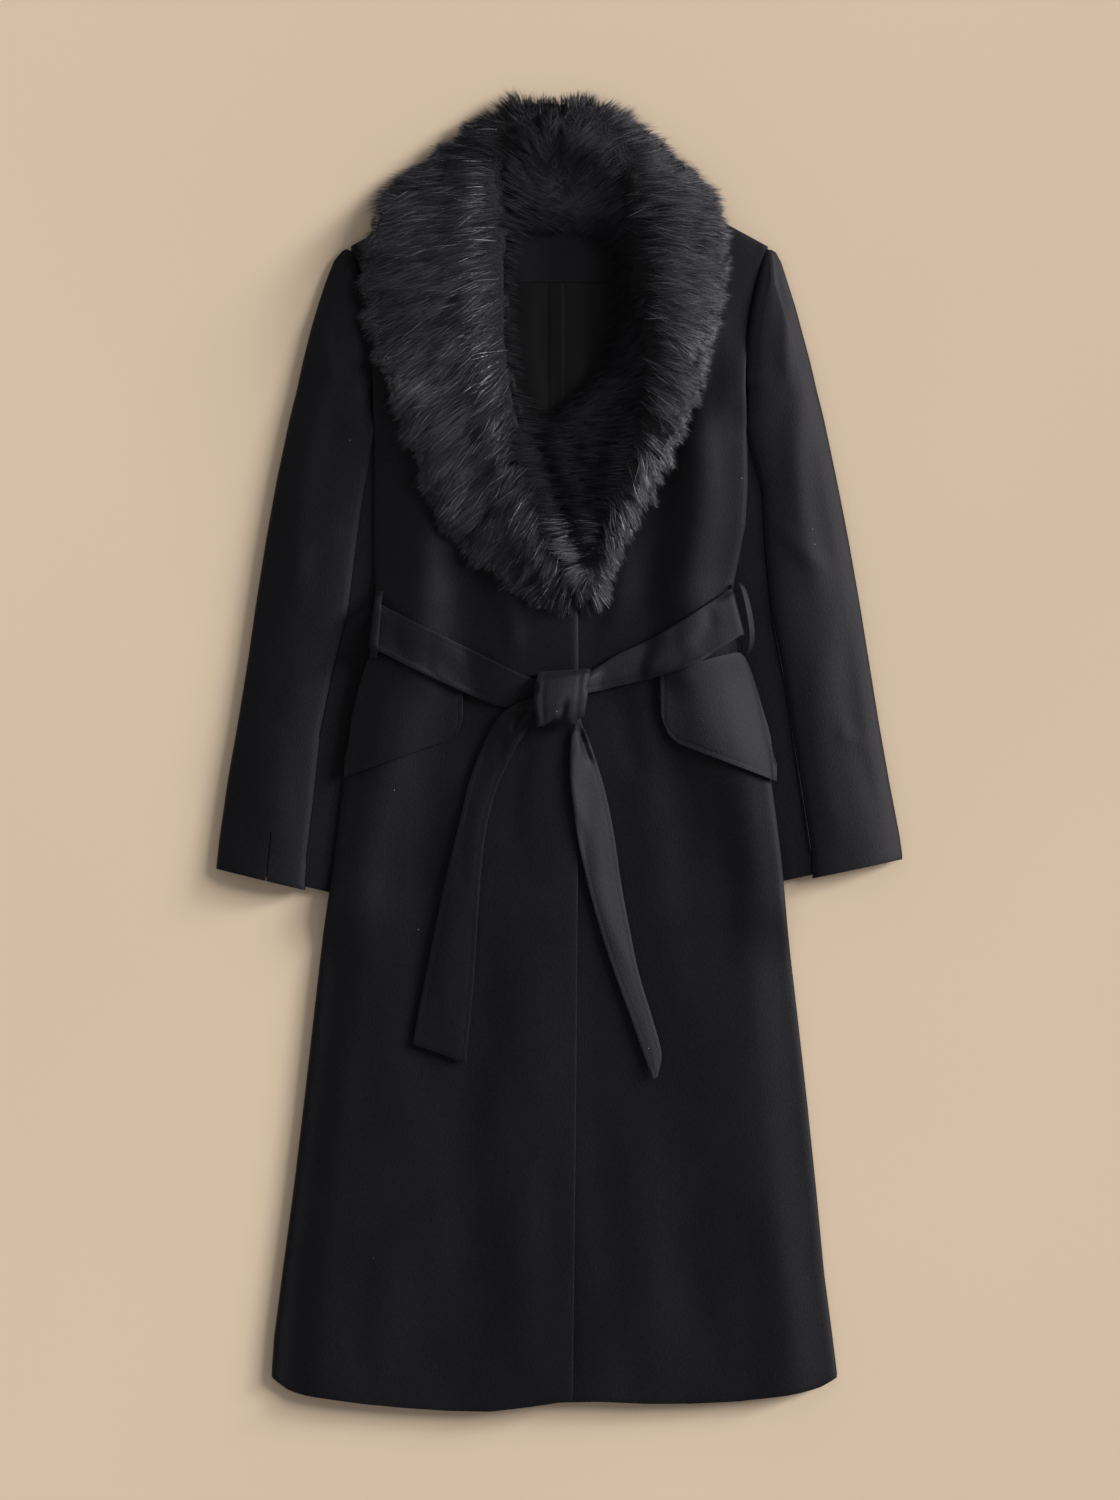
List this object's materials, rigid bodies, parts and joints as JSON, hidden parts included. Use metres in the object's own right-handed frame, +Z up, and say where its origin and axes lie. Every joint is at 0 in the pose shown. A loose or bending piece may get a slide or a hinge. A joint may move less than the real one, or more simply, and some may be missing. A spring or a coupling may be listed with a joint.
{
  "type": "faux fur coat",
  "caption": "Long black wool coat laid flat on its back, with a wide shawl collar of faux fur, flap pockets and a tied self belt",
  "frame": {"origin": "on the surface the coat lies on, under the centre of its bounding box", "axes": "+Y from the hem to the collar, +Z up off the surface, +X towards the wearer's left"},
  "size_m": [0.645, 1.2333, 0.0527],
  "materials": {
    "wool": "brushed wool cloth",
    "lining": "satin",
    "fur": "long glossy pile"
  },
  "bodies": {
    "root": {"back": "wool", "front_right": "wool", "front_left": "wool", "top_sleeve_right": "wool", "top_sleeve_left": "wool", "under_sleeve_right": "wool", "under_sleeve_left": "wool", "neck_facing": "wool", "belt_back": "wool", "belt_run_right": "wool", "belt_run_left": "wool", "belt_knot": "wool", "belt_tail_right": "wool", "belt_tail_left": "wool", "belt_loop_right": "wool", "belt_loop_left": "wool", "pocket_flap_right": "wool", "pocket_flap_left": "wool", "back_lining": "lining", "fur_collar_right": "fur", "fur_collar_left": "fur"}
  },
  "joints": []
}
